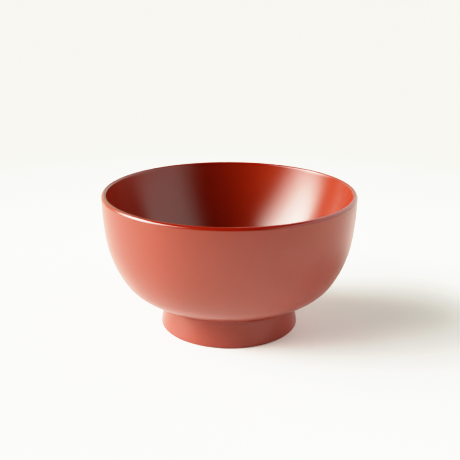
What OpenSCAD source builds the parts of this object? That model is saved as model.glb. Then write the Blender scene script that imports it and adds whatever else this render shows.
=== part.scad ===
// Lidless lacquered rice bowl: a turned wooden core with its foot ring, cloth bands glued
// over the lip, the foot and the well, a ground coat over all of it, and a lacquer top coat.
// Millimetres, +Z up. The origin is the centre of the ring that the bowl stands on.
//
// Every surface is a chain of stretches. A stretch is [centre, radius, from, to, sense]:
// an arc about centre, from one direction to another in degrees, seen in the r-z plane.
// sense is -1 on a convex stretch and +1 on a hollow one, so that a surface lying deeper
// in the material is the same arc with its radius changed by sense * depth.

/* [Size] */
// Diameter over the lip
rim_d = 120; // [112:1:124]
// Height from the standing ring to the crest of the lip
bowl_h = 66.5; // [64:0.5:72]
// Thickness of the finished lip
lip_t = 2.4; // [2.4:0.1:3.4]

/* [Outside curve] */
// Radius of the upper wall, which starts plumb at the lip
wall_r = 140; // [135:5:170]
// Angle below the horizontal at which the wall turns into the belly
wall_turn = 7.8; // [7.4:0.2:9]
// Radius of the belly
belly_r = 50; // [48:1:54]
// Angle below the horizontal at which the belly turns into the underside
belly_turn = 32.8; // [30:0.2:36]
// Radius of the underside, down to the foot
under_r = 22; // [20:0.5:24]

/* [Inside curve] */
// Lean of the inner wall from the vertical, just under the lip
inner_lean = 10; // [7:0.5:12]
// Radius of the upper wall inside
inner_wall_r = 90; // [80:2:100]
// Angle below the horizontal at which the inner wall turns into the inner belly
inner_wall_turn = 30; // [26:1:32]
// Radius of the inner belly
inner_belly_r = 30; // [27:0.5:33]
// Angle below the horizontal at which the inner belly turns into the floor of the well
inner_belly_turn = 65; // [62:1:68]

/* [Foot] */
// Diameter of the foot where it stands, measured to the sharp corner
foot_d = 67; // [62:0.2:70]
// Outward lean of the foot's flank from the vertical
foot_flare = 10; // [4:1:14]
// Radius of the cove between the underside and the foot
cove_r = 4; // [2.5:0.5:5]
// Width of the foot ring where it stands
ring_w = 5; // [4.5:0.5:7]
// Lean of the wall of the recess under the foot
recess_draft = 8; // [2:1:12]
// Height of the recess under the foot, at the centre
recess_h = 6.4; // [6:0.1:7]
// Radius of the shallow dome that closes the recess
recess_dome_r = 220; // [200:10:400]
// Radius of the corner between the wall and the dome of the recess
recess_corner_r = 2.5; // [1.5:0.5:3]
// Radius on both edges of the standing ring
foot_edge_r = 1; // [0.9:0.1:1.3]

/* [Coats] */
// Thickness of the lacquer top coat
lacquer_t = 0.25; // [0.15:0.05:0.3]
// Thickness of the ground coat under the lacquer
ground_t = 0.25; // [0.15:0.05:0.3]
// Thickness of the cloth let into the wood
cloth_t = 0.3; // [0.2:0.05:0.35]
// How far the lip cloth reaches down each side of the wall
rim_cloth_h = 9; // [6:1:14]
// How far the foot cloth reaches up the flank
foot_cloth_h = 6; // [4:0.5:8]
// Diameter of the cloth disc in the well
well_cloth_d = 52; // [30:1:60]

/* [Hidden] */

// Furthest that a chord may lie from its arc
fine = 0.02;
// Sides of the revolved solids
$fn = 180;

// Depths at which the coats end and the cloth ends
coat_t = lacquer_t + ground_t;
cloth_depth = coat_t + cloth_t;

rim_r = rim_d / 2;
foot_r = foot_d / 2;

// The lip is two quarter rounds of different size that share their crest
lip_outer_r = 0.58 * lip_t;
lip_inner_r = lip_t - lip_outer_r;
crest_r = rim_r - lip_outer_r;
lip_outer_c = [crest_r, bowl_h - lip_outer_r];
lip_inner_c = [crest_r, bowl_h - lip_inner_r];

function toward(angle) = [cos(angle), sin(angle)];
function heading(v) = atan2(v[1], v[0]);
// Point on the line through p along dir that lies dist from centre, on the side that way gives
function reach(p, dir, centre, dist, way) =
    let (q = p - centre, b = q * dir) p + dir * (way * sqrt(b * b - q * q + dist * dist) - b);

// Centres of the outside arcs, each on the end radius of the arc before it
wall_c = [rim_r - wall_r, lip_outer_c[1]];
belly_c = wall_c + (wall_r - belly_r) * toward(-wall_turn);
under_c = belly_c + (belly_r - under_r) * toward(-belly_turn);

// Centres of the inside arcs; the floor of the well is centred on the axis
inner_wall_c = lip_inner_c - (lip_inner_r + inner_wall_r) * toward(-inner_lean);
inner_belly_c = inner_wall_c + (inner_wall_r - inner_belly_r) * toward(-inner_wall_turn);
floor_r = inner_belly_r + inner_belly_c[0] / cos(inner_belly_turn);
floor_c = [0, inner_belly_c[1] + (floor_r - inner_belly_r) * sin(inner_belly_turn)];

// Flank of the foot: a straight line through the corner where the foot stands
flank_n = toward(foot_flare);
flank_up = [-flank_n[1], flank_n[0]];
cove_c = reach([foot_r, 0] + cove_r * flank_n, flank_up, under_c, under_r + cove_r, -1);
under_end = heading(cove_c - under_c);
edge_c = [foot_r - foot_edge_r * (1 + sin(foot_flare)) / cos(foot_flare), foot_edge_r];

// Recess under the foot
recess_r = foot_r - ring_w;
draft_n = toward(recess_draft);
draft_up = [-draft_n[1], draft_n[0]];
inner_edge_c = [recess_r + foot_edge_r * (1 - sin(recess_draft)) / cos(recess_draft), foot_edge_r];
dome_c = [0, recess_h - recess_dome_r];
corner_c = reach([recess_r, 0] - recess_corner_r * draft_n, draft_up, dome_c,
                 recess_dome_r - recess_corner_r, 1);
dome_start = heading(corner_c - dome_c);

// Where the edges of the cloth fall
rim_cloth_end = -rim_cloth_h / wall_r * 180 / PI;
inner_rim_cloth_end = -inner_lean - rim_cloth_h / inner_wall_r * 180 / PI;
flank_cloth_p = [foot_r, 0] + foot_cloth_h / cos(foot_flare) * flank_up;
recess_cloth_p = [recess_r, 0] + (recess_h - recess_corner_r) / 2 * draft_up;
well_cloth_start = asin(well_cloth_d / 2 / floor_r) - 90;

// The end of a straight run is a stretch that doesn't turn: it faces along the run's normal
flank_cloth_s = [flank_cloth_p, 0, foot_flare, foot_flare, -1];
recess_cloth_s = [recess_cloth_p, 0, 180 + recess_draft, 180 + recess_draft, -1];

// The outside, from the crest of the lip to the standing ring
rim_outside = [
    [lip_outer_c, lip_outer_r, 90, 0, -1],
    [wall_c, wall_r, 0, rim_cloth_end, -1]
];
body_outside = [
    [wall_c, wall_r, rim_cloth_end, -wall_turn, -1],
    [belly_c, belly_r, -wall_turn, -belly_turn, -1],
    [under_c, under_r, -belly_turn, under_end, -1],
    [cove_c, cove_r, 180 + under_end, 180 + foot_flare, 1],
    flank_cloth_s
];
foot_outside = [
    flank_cloth_s,
    [edge_c, foot_edge_r, foot_flare, -90, -1]
];
// The underneath, from the standing ring to the axis
foot_inside = [
    [edge_c, foot_edge_r, -90, -90, -1],
    [inner_edge_c, foot_edge_r, -90, recess_draft - 180, -1],
    recess_cloth_s
];
recess_inside = [
    recess_cloth_s,
    [corner_c, recess_corner_r, recess_draft, dome_start, 1],
    [dome_c, recess_dome_r, dome_start, 90, 1]
];
// The inside, from the crest of the lip to the axis
rim_inside = [
    [lip_inner_c, lip_inner_r, 90, 180 - inner_lean, -1],
    [inner_wall_c, inner_wall_r, -inner_lean, inner_rim_cloth_end, 1]
];
body_inside = [
    [inner_wall_c, inner_wall_r, inner_rim_cloth_end, -inner_wall_turn, 1],
    [inner_belly_c, inner_belly_r, -inner_wall_turn, -inner_belly_turn, 1],
    [floor_c, floor_r, -inner_belly_turn, well_cloth_start, 1]
];
well_inside = [
    [floor_c, floor_r, well_cloth_start, -90, 1]
];

outside = concat(rim_outside, body_outside, foot_outside);
underneath = concat(foot_inside, recess_inside);
inside = concat(rim_inside, body_inside, well_inside);

// Points of one stretch at a depth; every depth gets the same number of points
function stretch_points(s, depth) =
    let (turn = s[3] - s[2],
         steps = turn == 0 ? 0 : ceil(abs(turn) / (2 * acos(1 - fine / s[1]))))
    [for (k = [0:steps]) s[0] + (s[1] + s[4] * depth) * toward(s[2] + turn * k / max(steps, 1))];

function chain_points(chain, depth) = [for (s = chain) each stretch_points(s, depth)];
function backward(points) = [for (k = [len(points) - 1:-1:0]) points[k]];

// Outline without the repeated point where two stretches meet
function without_repeats(points) =
    [for (k = [0:len(points) - 1])
        if (norm(points[k] - points[(k + 1) % len(points)]) > 0.001) points[k]];

module turned(points) {
    rotate_extrude()
        polygon(without_repeats(points));
}

// Ring between two depths of a chain
module layer(chain, top, bottom) {
    turned(concat(chain_points(chain, top), backward(chain_points(chain, bottom))));
}

module wood_core() {
    color("burlywood")
        turned(concat(
            chain_points(rim_outside, cloth_depth),
            chain_points(body_outside, coat_t),
            chain_points(concat(foot_outside, foot_inside), cloth_depth),
            chain_points(recess_inside, coat_t),
            backward(chain_points(well_inside, cloth_depth)),
            backward(chain_points(body_inside, coat_t)),
            backward(chain_points(rim_inside, cloth_depth))));
}

module rim_cloth() {
    color("wheat")
        turned(concat(
            backward(chain_points(rim_inside, coat_t)),
            chain_points(rim_outside, coat_t),
            backward(chain_points(rim_outside, cloth_depth)),
            chain_points(rim_inside, cloth_depth)));
}

module foot_cloth() {
    color("wheat")
        layer(concat(foot_outside, foot_inside), coat_t, cloth_depth);
}

module well_cloth() {
    color("wheat")
        layer(well_inside, coat_t, cloth_depth);
}

module inner_ground() {
    color("dimgray")
        layer(inside, lacquer_t, coat_t);
}

module outer_ground() {
    color("dimgray")
        layer(concat(outside, underneath), lacquer_t, coat_t);
}

module inner_lacquer() {
    color("firebrick")
        layer(inside, 0, lacquer_t);
}

module outer_lacquer() {
    color("indianred")
        layer(outside, 0, lacquer_t);
}

module foot_lacquer() {
    color("firebrick")
        layer(underneath, 0, lacquer_t);
}

wood_core();
rim_cloth();
foot_cloth();
well_cloth();
inner_ground();
outer_ground();
inner_lacquer();
outer_lacquer();
foot_lacquer();
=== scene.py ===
from math import atan2, ceil, cos, degrees, pi, radians, sin, sqrt
from typing import NamedTuple

import bmesh
import bpy
from mathutils import Matrix, Vector


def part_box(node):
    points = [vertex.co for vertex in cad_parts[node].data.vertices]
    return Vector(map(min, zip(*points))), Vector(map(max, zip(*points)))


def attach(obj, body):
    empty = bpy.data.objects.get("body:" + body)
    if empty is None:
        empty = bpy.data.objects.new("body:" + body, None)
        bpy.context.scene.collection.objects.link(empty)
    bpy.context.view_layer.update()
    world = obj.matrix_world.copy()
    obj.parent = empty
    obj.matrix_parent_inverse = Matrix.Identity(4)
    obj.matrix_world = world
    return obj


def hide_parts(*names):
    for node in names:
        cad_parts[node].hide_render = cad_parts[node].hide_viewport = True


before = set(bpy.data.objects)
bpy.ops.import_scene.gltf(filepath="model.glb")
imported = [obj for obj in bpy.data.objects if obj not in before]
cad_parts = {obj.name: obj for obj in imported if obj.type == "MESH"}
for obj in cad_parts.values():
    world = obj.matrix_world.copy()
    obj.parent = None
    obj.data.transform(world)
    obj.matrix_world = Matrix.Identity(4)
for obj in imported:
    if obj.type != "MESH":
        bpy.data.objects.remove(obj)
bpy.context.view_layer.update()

# ---------------------------------------------------------------- turned shape, in metres
MM = 0.001

# Read off the frame: the lip, the crest that its two coats share, and the standing ring
RIM_R = max(v.co.xy.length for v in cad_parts["outer_lacquer"].data.vertices)
CREST_R = max(v.co.xy.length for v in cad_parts["inner_lacquer"].data.vertices)
STAND_R = max(v.co.xy.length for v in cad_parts["foot_lacquer"].data.vertices)
BOWL_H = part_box("outer_lacquer")[1].z
RECESS_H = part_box("foot_lacquer")[1].z

# The arcs that the CAD part is turned to
LIP_T = 2.4 * MM
COAT_T = 0.25 * MM
WALL_R, WALL_TURN = 140 * MM, 7.8
BELLY_R, BELLY_TURN = 50 * MM, 32.8
UNDER_R = 22 * MM
INNER_LEAN = 10
INNER_WALL_R, INNER_WALL_TURN = 90 * MM, 30
INNER_BELLY_R, INNER_BELLY_TURN = 30 * MM, 65
FOOT_FLARE, COVE_R, RING_W, FOOT_EDGE_R = 10, 4 * MM, 5 * MM, 1 * MM
RECESS_DRAFT, RECESS_CORNER_R, RECESS_DOME_R = 8, 2.5 * MM, 220 * MM

# Steps of the visible meshes
AROUND = 360
LONGEST_STEP = 0.9 * MM
WIDEST_STEP = 6
NEARLY_NOTHING = 0.0001 * MM

# Which way the wood lies from an arc: towards its centre or away from it
CONVEX, HOLLOW = -1, 1


def toward(angle):
    """Unit vector at an angle in degrees."""
    return Vector((cos(radians(angle)), sin(radians(angle))))


def heading(v):
    """Angle of a vector in degrees."""
    return degrees(atan2(v.y, v.x))


def reach(point, along, centre, distance, way):
    """Point on the line through point that lies that distance from centre."""
    q = point - centre
    b = q.dot(along)
    return point + along * (way * sqrt(b * b - q.dot(q) + distance * distance) - b)


def outside_stretches():
    """Arcs from the crest of the lip down to the ring that the bowl stands on."""
    lip_r = RIM_R - CREST_R
    lip_c = Vector((CREST_R, BOWL_H - lip_r))
    wall_c = Vector((RIM_R - WALL_R, lip_c.y))
    belly_c = wall_c + (WALL_R - BELLY_R) * toward(-WALL_TURN)
    under_c = belly_c + (BELLY_R - UNDER_R) * toward(-BELLY_TURN)
    flank_n = toward(FOOT_FLARE)
    flank_up = Vector((-flank_n.y, flank_n.x))
    corner = Vector((foot_corner_r(), 0))
    cove_c = reach(corner + COVE_R * flank_n, flank_up, under_c, UNDER_R + COVE_R, -1)
    under_end = heading(cove_c - under_c)
    edge_c = Vector((STAND_R, FOOT_EDGE_R))
    return [
        (lip_c, lip_r, 90, 0, CONVEX),
        (wall_c, WALL_R, 0, -WALL_TURN, CONVEX),
        (belly_c, BELLY_R, -WALL_TURN, -BELLY_TURN, CONVEX),
        (under_c, UNDER_R, -BELLY_TURN, under_end, CONVEX),
        (cove_c, COVE_R, 180 + under_end, 180 + FOOT_FLARE, HOLLOW),
        (edge_c, FOOT_EDGE_R, FOOT_FLARE, -90, CONVEX),
    ]


def foot_corner_r():
    """Radius of the sharp corner that the flank of the foot would stand on."""
    flare = radians(FOOT_FLARE)
    return STAND_R + FOOT_EDGE_R * (1 + sin(flare)) / cos(flare)


def underneath_stretches():
    """Arcs from the standing ring across the recess to the axis."""
    draft = radians(RECESS_DRAFT)
    wall_r = foot_corner_r() - RING_W
    inner_edge_c = Vector((wall_r + FOOT_EDGE_R * (1 - sin(draft)) / cos(draft), FOOT_EDGE_R))
    draft_n = toward(RECESS_DRAFT)
    draft_up = Vector((-draft_n.y, draft_n.x))
    dome_c = Vector((0, RECESS_H - COAT_T - RECESS_DOME_R))
    start = Vector((wall_r, 0)) - RECESS_CORNER_R * draft_n
    corner_c = reach(start, draft_up, dome_c, RECESS_DOME_R - RECESS_CORNER_R, 1)
    dome_start = heading(corner_c - dome_c)
    return [
        (Vector((STAND_R, FOOT_EDGE_R)), FOOT_EDGE_R, -90, -90, CONVEX),
        (inner_edge_c, FOOT_EDGE_R, -90, RECESS_DRAFT - 180, CONVEX),
        (corner_c, RECESS_CORNER_R, RECESS_DRAFT, dome_start, HOLLOW),
        (dome_c, RECESS_DOME_R, dome_start, 90, HOLLOW),
    ]


def inside_stretches():
    """Arcs from the crest of the lip down to the middle of the well."""
    lip_r = LIP_T - (RIM_R - CREST_R)
    lip_c = Vector((CREST_R, BOWL_H - lip_r))
    wall_c = lip_c - (lip_r + INNER_WALL_R) * toward(-INNER_LEAN)
    belly_c = wall_c + (INNER_WALL_R - INNER_BELLY_R) * toward(-INNER_WALL_TURN)
    turn = radians(INNER_BELLY_TURN)
    floor_r = INNER_BELLY_R + belly_c.x / cos(turn)
    floor_c = Vector((0, belly_c.y + (floor_r - INNER_BELLY_R) * sin(turn)))
    return [
        (lip_c, lip_r, 90, 180 - INNER_LEAN, CONVEX),
        (wall_c, INNER_WALL_R, -INNER_LEAN, -INNER_WALL_TURN, HOLLOW),
        (belly_c, INNER_BELLY_R, -INNER_WALL_TURN, -INNER_BELLY_TURN, HOLLOW),
        (floor_c, floor_r, -INNER_BELLY_TURN, -90, HOLLOW),
    ]


def outline(stretches, depth):
    """Points along the arcs at a depth in the material, close enough to shade smoothly."""
    points = []
    for centre, radius, start, end, sense in stretches:
        turn = end - start
        by_length = abs(radians(turn)) * radius / LONGEST_STEP
        steps = max(1, ceil(max(by_length, abs(turn) / WIDEST_STEP))) if turn else 0
        for k in range(steps + 1):
            angle = start + turn * k / max(steps, 1)
            p = centre + (radius + sense * depth) * toward(angle)
            if points and (p - points[-1]).length > LONGEST_STEP * 1.5:
                last, gap = points[-1].copy(), p - points[-1]
                count = ceil(gap.length / LONGEST_STEP)
                points += [last + gap * i / count for i in range(1, count)]
            if not points or (p - points[-1]).length > NEARLY_NOTHING:
                points.append(p)
    return points


def turned_skin(name, stretches):
    """Closed shell of one coat: its face, and its back one coat's thickness below."""
    bm = bmesh.new()
    rings = []
    for p in outline(stretches, 0) + outline(stretches, COAT_T)[::-1]:
        if abs(p.x) < NEARLY_NOTHING:
            rings.append([bm.verts.new((0, 0, p.y))])
        else:
            rings.append([bm.verts.new((p.x * cos(a), p.x * sin(a), p.y))
                          for a in (2 * pi * k / AROUND for k in range(AROUND))])
    for upper, lower in zip(rings, rings[1:] + rings[:1]):
        if len(upper) == 1 and len(lower) == 1:
            continue
        for k in range(AROUND):
            n = (k + 1) % AROUND
            if len(upper) == 1:
                bm.faces.new((upper[0], lower[k], lower[n]))
            elif len(lower) == 1:
                bm.faces.new((upper[k], lower[0], upper[n]))
            else:
                bm.faces.new((upper[k], lower[k], lower[n], upper[n]))
    bmesh.ops.recalc_face_normals(bm, faces=bm.faces)
    for f in bm.faces:
        f.smooth = True
    return to_object(name, bm)


def to_object(name, bm):
    """New object in the scene, with the mesh that was built."""
    mesh = bpy.data.meshes.new(name)
    bm.to_mesh(mesh)
    bm.free()
    made = bpy.data.objects.new(name, mesh)
    bpy.context.scene.collection.objects.link(made)
    return made


# ---------------------------------------------------------------- materials
class Nodes:
    """Short ways to add and join nodes in one node tree."""

    def __init__(self, tree):
        self.tree = tree

    def fill(self, socket, value):
        """Join a socket to another, or set its number or colour."""
        if isinstance(value, bpy.types.NodeSocket):
            self.tree.links.new(value, socket)
        elif isinstance(value, tuple) and len(value) == 3 and socket.type == "RGBA":
            socket.default_value = (*value, 1)
        else:
            socket.default_value = value

    def node(self, kind, *values, **settings):
        """New node with these settings, and its input sockets filled in order."""
        made = self.tree.nodes.new(kind)
        for key, value in settings.items():
            setattr(made, key, value)
        for socket, value in zip(made.inputs, values):
            self.fill(socket, value)
        return made

    def maths(self, operation, *values):
        return self.node("ShaderNodeMath", *values, operation=operation).outputs[0]

    def step(self, value, start, end):
        """Smooth rise from 0 at start to 1 at end, or a fall where end comes first."""
        low, high = min(start, end), max(start, end)
        ends = (0, 1) if start < end else (1, 0)
        return self.node("ShaderNodeMapRange", value, low, high, *ends,
                         interpolation_type="SMOOTHSTEP").outputs[0]

    def spread(self, value, low, high, from_low=0.3, from_high=0.7):
        """Straight line from low to high, over the part of a noise that it mostly stays in."""
        return self.node("ShaderNodeMapRange", value, from_low, from_high, low, high).outputs[0]


class Finish(Nodes):
    """A material under construction, its patterns in metres on the object."""

    def __init__(self, name):
        self.material = bpy.data.materials.new(name)
        self.material.use_nodes = True
        super().__init__(self.material.node_tree)
        self.shader = self.tree.nodes["Principled BSDF"]
        self.place = self.node("ShaderNodeTexCoord").outputs["Object"]

    def noise(self, size, detail=2, stretch=(1, 1, 1)):
        """Clouds from 0 to 1, about size across, longer where stretch is more."""
        scaled = self.node("ShaderNodeMapping", self.place)
        scaled.inputs["Scale"].default_value = [1 / (size * s) for s in stretch]
        made = self.node("ShaderNodeTexNoise")
        self.fill(made.inputs["Vector"], scaled.outputs[0])
        made.inputs["Scale"].default_value = 1
        made.inputs["Detail"].default_value = detail
        return made.outputs["Fac"]

    def mix(self, share, first, second):
        """Colour that goes from the first to the second as the share goes from 0 to 1."""
        made = self.node("ShaderNodeMix", share, data_type="RGBA")
        first_socket, second_socket = (i for i in made.inputs if i.type == "RGBA")
        self.fill(first_socket, first)
        self.fill(second_socket, second)
        return next(o for o in made.outputs if o.type == "RGBA")

    def bump(self, height, depth, under=None):
        """Normal of a surface raised by height times depth metres."""
        made = self.node("ShaderNodeBump")
        made.inputs["Distance"].default_value = depth
        self.fill(made.inputs["Height"], height)
        if under:
            self.fill(made.inputs["Normal"], under)
        return made.outputs[0]

    def finish(self, colour, roughness, normal):
        """Join the patterns to the shader, and hand over the material."""
        self.fill(self.shader.inputs["Base Color"], colour)
        self.fill(self.shader.inputs["Roughness"], roughness)
        self.fill(self.shader.inputs["Normal"], normal)
        return self.material


def lacquer(name, deep, light, roughness):
    """Vermilion lacquer: an opaque pigment under a clear, slightly uneven film.

    It is satin where it was rubbed down and glossier where hands polish it, on the lip. It is
    painted a deeper red on the lip, and that red is painted shade in the cove over the foot.
    """
    f = Finish(name)
    tone = f.maths("ADD", f.spread(f.noise(CLOUD, 3), 0, 1 - GRAIN_SHARE),
                   f.spread(f.noise(GRAIN), 0, GRAIN_SHARE))
    height = f.node("ShaderNodeSeparateXYZ", f.place).outputs[2]
    on_lip = f.step(height, BOWL_H - POLISHED_LIP, BOWL_H - POLISHED_LIP / 2)
    # Mask of the painted shade round the cove over the foot
    off_cove = f.maths("ABSOLUTE", f.maths("SUBTRACT", height, COVE_H))
    cove_shade = f.step(off_cove, 0.75 * COVE_R, 0.25 * COVE_R)
    satin = f.spread(f.noise(PATCH, 4), roughness - PATCH_GLOSS, roughness + PATCH_GLOSS)
    gloss = f.spread(on_lip, satin, POLISHED, 0, 1)
    peel = f.bump(f.noise(PEEL), PEEL_H)
    # Deeper red painted on the lip, and the same red as painted shade round the cove
    colour = f.mix(f.maths("ADD", on_lip, cove_shade), f.mix(tone, deep, light), LIP_RED_AND_COVE_SHADE)
    return f.finish(colour, gloss, f.bump(dust(f), DUST_H, peel))


def dust(f):
    """Round specks under the film, centimetres apart: 1 on a speck and 0 elsewhere."""
    cells = f.node("ShaderNodeTexVoronoi")
    f.fill(cells.inputs["Vector"], f.place)
    cells.inputs["Scale"].default_value = 1 / DUST_GAP
    return f.step(cells.outputs["Distance"], DUST_R / DUST_GAP, 0)


def ground_coat(name):
    """Dark filler of fired clay in raw lacquer, stoned flat: matt, with a fine grit."""
    f = Finish(name)
    grit = f.noise(0.25 * MM, 3)
    scratches = f.noise(0.4 * MM, 2, (1, 1, 14))
    colour = f.mix(f.spread(grit, 0, 1), (0.035, 0.026, 0.021), (0.085, 0.066, 0.054))
    height = f.maths("ADD", grit, scratches)
    return f.finish(colour, f.spread(f.noise(6 * MM, 3), 0.72, 0.9), f.bump(height, 0.02 * MM))


def cloth(name, band_r=0):
    """Plain-woven hemp set in lacquer, its threads round a band or straight across a disc."""
    f = Finish(name)
    x, y, z = f.node("ShaderNodeSeparateXYZ", f.place).outputs
    warp_way, weft_way = x, y
    if band_r:
        warp_way, weft_way = f.maths("MULTIPLY", f.maths("ARCTAN2", y, x), band_r), z
    warp = f.maths("SINE", f.maths("MULTIPLY", warp_way, 2 * pi / THREAD))
    weft = f.maths("SINE", f.maths("MULTIPLY", weft_way, 2 * pi / THREAD))
    crossing = f.spread(f.maths("MULTIPLY", warp, weft), 0, 1, -1, 1)
    slub = f.noise(2.5 * MM, 3)
    height = f.maths("ADD", crossing, f.maths("MULTIPLY", slub, 0.4))
    colour = f.mix(f.spread(height, 0, 1, 0.2, 1.1), (0.03, 0.013, 0.006), (0.19, 0.105, 0.05))
    return f.finish(colour, f.spread(slub, 0.45, 0.65), f.bump(height, 0.12 * MM))


def wood(name):
    """Zelkova with its grain along Y: growth rings, rows of pores and fine fibre."""
    f = Finish(name)
    x, y, z = f.node("ShaderNodeSeparateXYZ", f.place).outputs
    wander = f.maths("MULTIPLY", f.noise(30 * MM, 3, (1, 5, 1)), 9 * MM)
    depth = f.maths("ADD", f.maths("ADD", x, f.maths("MULTIPLY", z, 0.45)), wander)
    ring = f.maths("FRACT", f.maths("MULTIPLY", depth, 1 / RING_GAP))
    late = f.maths("MULTIPLY", f.maths("POWER", ring, 3), 0.7)
    fibre = f.noise(0.5 * MM, 3, (1, 30, 1))
    pores = f.maths("MULTIPLY", f.spread(f.noise(0.3 * MM, 1, (1, 12, 1)), 0, 1, 0.58, 0.7),
                    f.spread(ring, 1, 0.15, 0, 0.5))
    pale = f.mix(f.spread(fibre, 0, 1), (0.36, 0.185, 0.082), (0.47, 0.27, 0.135))
    ringed = f.mix(late, pale, (0.2, 0.085, 0.032))
    colour = f.mix(pores, ringed, (0.09, 0.038, 0.016))
    height = f.maths("SUBTRACT", fibre, f.maths("MULTIPLY", pores, 2))
    return f.finish(colour, f.spread(fibre, 0.5, 0.68), f.bump(height, 0.03 * MM))


def paper(name):
    """White paper: matt, faintly clouded and barely toothed, with painted shade that makes it
    dimmer and warmer far away.
    """
    f = Finish(name)
    f.shader.inputs["Specular IOR Level"].default_value = 0
    near = f.mix(f.spread(f.noise(60 * MM, 3), 0, 1), (0.955, 0.95, 0.92), (0.965, 0.96, 0.93))
    distance = f.node("ShaderNodeVectorMath", f.place, operation="LENGTH").outputs["Value"]
    # Painted shade: the paper turns dimmer and warmer with distance from the bowl, where the
    # light would fall off
    colour = f.mix(f.step(distance, SHADE_FADE_START, SHADE_FADE_END), near, (0.6, 0.585, 0.52))
    tooth = f.noise(0.8 * MM, 3)
    return f.finish(colour, f.spread(tooth, 0.85, 0.95), f.bump(tooth, 0.01 * MM))


# ---------------------------------------------------------------- the bowl
# Lacquer: clouds and grain in its tone, patches in its gloss, and how uneven its surface is
CLOUD, GRAIN, GRAIN_SHARE = 28 * MM, 0.35 * MM, 0.25
PATCH, PATCH_GLOSS = 9 * MM, 0.015
PEEL, PEEL_H = 1.8 * MM, 0.004 * MM
DUST_H, DUST_R, DUST_GAP = 0.03 * MM, 0.4 * MM, 17 * MM

# Lacquer on the lip, polished over its top stretch and painted a deeper red there, and that red
# as painted shade round the cove
POLISHED, POLISHED_LIP = 0.16, 1.5 * MM
LIP_RED_AND_COVE_SHADE = (0.18, 0.012, 0.004)
COVE_H = 13.5 * MM

# Cloth and wood: the gaps between threads of one kind and between growth rings
THREAD = 1 * MM
RING_GAP = 3.5 * MM

# Paper: how far from the bowl its painted shade, dimmer and warmer, starts, and where that ends
SHADE_FADE_START, SHADE_FADE_END = 100 * MM, 450 * MM

# The inside is painted a deeper red than the outside, as painted shade in the well over the same
# vermilion
inside_lacquer_shaded = lacquer("inside_lacquer_shaded", (0.19, 0.019, 0.006), (0.207, 0.024, 0.008), 0.22)
outside_lacquer = lacquer("outside_lacquer", (0.207, 0.032, 0.0195), (0.224, 0.037, 0.0225), 0.32)

SKINS = [
    ("inner_skin", inside_stretches(), "inner_lacquer", "lacquer_inside", inside_lacquer_shaded),
    ("outer_skin", outside_stretches(), "outer_lacquer", "lacquer_outside", outside_lacquer),
    ("foot_skin", underneath_stretches(), "foot_lacquer", "lacquer_outside", outside_lacquer),
]
for name, stretches, node, slot, material in SKINS:
    skin = turned_skin(name, stretches)
    skin.data.materials.append(material)
    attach(skin, "root")
    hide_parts(node)

ground = ground_coat("ground_filler")
HIDDEN = {
    "wood_core": wood("zelkova"),
    "rim_cloth": cloth("rim_hemp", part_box("rim_cloth")[1].x),
    "foot_cloth": cloth("foot_hemp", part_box("foot_cloth")[1].x),
    "well_cloth": cloth("well_hemp"),
    "inner_ground": ground,
    "outer_ground": ground,
}
for name, material in HIDDEN.items():
    for cad_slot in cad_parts[name].material_slots:
        cad_slot.link = "OBJECT"
        cad_slot.material = material

# ---------------------------------------------------------------- floor, light and camera
FLOOR_R = 6
floor_mesh = bmesh.new()
bmesh.ops.create_circle(floor_mesh, cap_ends=True, segments=96, radius=FLOOR_R)
floor = to_object("floor", floor_mesh)
floor.data.materials.append(paper("floor_paper"))


class Panel(NamedTuple):
    """A soft panel of light that stands round the room, its angles in degrees.

    Azimuths run from the front towards +X. Each edge is as wide as its softness, and an end
    may widen the panel by so many degrees for each degree of height above WIDEN_FROM.
    """

    start: float
    start_soft: float
    end: float
    end_soft: float
    top: float
    top_soft: float
    radiance: tuple
    start_widen: float = 0
    end_widen: float = 0


WIDEN_FROM = 25
WINDOW = Panel(start=-107, start_soft=45, start_widen=0.5, end=-67, end_soft=58, end_widen=0.6,
               top=45, top_soft=7, radiance=(28, 28, 26))
PALE_WALL = Panel(start=-176, start_soft=24, end=-92, end_soft=10,
                  top=38, top_soft=16, radiance=(1.05, 1.35, 1.0))
FILL = Panel(start=43, start_soft=36, end=175, end_soft=105,
             top=49, top_soft=5, radiance=(2.3, 2.2, 2.12))

# What the camera sees over the floor's edge: as bright and warm as the far floor
ROOM_SEEN = (1.35, 1.31, 1.12)


def share_of(panel, n, azimuth, height):
    """1 on the panel and 0 off it, with soft edges."""
    above = n.maths("SUBTRACT", height, WIDEN_FROM)
    rise = n.step(n.maths("ADD", azimuth, n.maths("MULTIPLY", above, panel.start_widen)),
                  panel.start - panel.start_soft / 2, panel.start + panel.start_soft / 2)
    fall = n.step(n.maths("SUBTRACT", azimuth, n.maths("MULTIPLY", above, panel.end_widen)),
                  panel.end + panel.end_soft / 2, panel.end - panel.end_soft / 2)
    below = n.step(height, panel.top + panel.top_soft / 2, panel.top - panel.top_soft / 2)
    return n.maths("MULTIPLY", n.maths("MULTIPLY", rise, fall), below)


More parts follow.
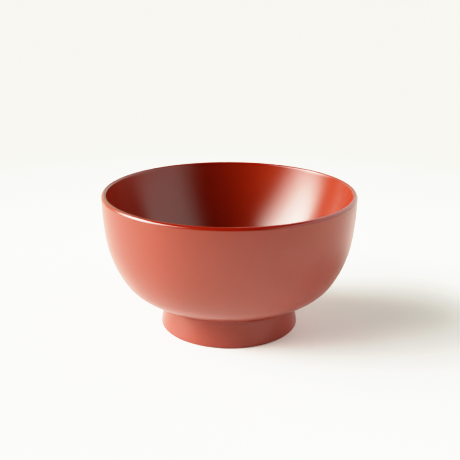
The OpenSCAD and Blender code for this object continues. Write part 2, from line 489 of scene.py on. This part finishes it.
def light_room():
    """Light the scene with the panels alone, in a room that is dark between them."""
    world = bpy.data.worlds.new("room")
    world.use_nodes = True
    bpy.context.scene.world = world
    n = Nodes(world.node_tree)
    way = n.node("ShaderNodeTexCoord").outputs["Generated"]
    x, y, z = n.node("ShaderNodeSeparateXYZ", way).outputs
    azimuth = n.maths("DEGREES", n.maths("ARCTAN2", x, n.maths("MULTIPLY", y, -1)))
    height = n.maths("DEGREES", n.maths("ARCSINE", z))
    light = (0, 0, 0)
    for panel in (WINDOW, PALE_WALL, FILL):
        lit = n.node("ShaderNodeVectorMath", panel.radiance, operation="SCALE")
        n.fill(lit.inputs["Scale"], share_of(panel, n, azimuth, height))
        light = n.node("ShaderNodeVectorMath", light, lit.outputs[0], operation="ADD").outputs[0]
    shining = world.node_tree.nodes["Background"]
    n.fill(shining.inputs["Color"], light)
    seen = n.node("ShaderNodeBackground", ROOM_SEEN)
    by_camera = n.node("ShaderNodeLightPath").outputs["Is Camera Ray"]
    choice = n.node("ShaderNodeMixShader", by_camera, shining.outputs[0], seen.outputs[0])
    n.fill(world.node_tree.nodes["World Output"].inputs["Surface"], choice.outputs[0])


# How tones of light are shown: a toe that deepens the darkest, and a shoulder for the brightest
TONES = [(0.01, 0.002), (0.03, 0.012), (0.06, 0.036), (0.12, 0.094), (0.25, 0.24),
         (0.4, 0.4), (0.7, 0.7), (1.0, 0.86), (1.35, 0.935), (2.0, 0.965)]


def bend_tones(view):
    """Show each of TONES as its second number, and the tones between in proportion."""
    brightest, brightest_shown = TONES[-1]
    view.use_curve_mapping = True
    curves = view.curve_mapping
    curves.white_level = [brightest] * 3
    points = curves.curves[3].points
    points[1].location = (1, brightest_shown)
    for tone, shown in TONES[:-1]:
        points.new(tone / brightest, shown)
    for point in points:
        point.handle_type = "VECTOR"
    curves.update()


# Camera: how far it is from AIM_HEIGHT on the axis and how high over it, and how it is turned
CAMERA_DISTANCE, CAMERA_RISE, CAMERA_PITCH = 0.3801, 19.815, 17.873
CAMERA_YAW, CAMERA_ROLL, CAMERA_LENS = -0.053, 0.263, 61.3
AIM_HEIGHT = 33 * MM


def place_camera():
    data = bpy.data.cameras.new("camera")
    data.lens = CAMERA_LENS
    data.sensor_width = 36
    camera = bpy.data.objects.new("camera", data)
    rise = radians(CAMERA_RISE)
    camera.location = (0, -CAMERA_DISTANCE * cos(rise), CAMERA_DISTANCE * sin(rise) + AIM_HEIGHT)
    camera.rotation_euler = (Matrix.Rotation(radians(CAMERA_YAW), 3, "Z")
                             @ Matrix.Rotation(radians(90 - CAMERA_PITCH), 3, "X")
                             @ Matrix.Rotation(radians(CAMERA_ROLL), 3, "Z")).to_euler()
    bpy.context.scene.collection.objects.link(camera)
    bpy.context.scene.camera = camera


light_room()
place_camera()
bpy.context.scene.view_settings.view_transform = "Standard"
bend_tones(bpy.context.scene.view_settings)
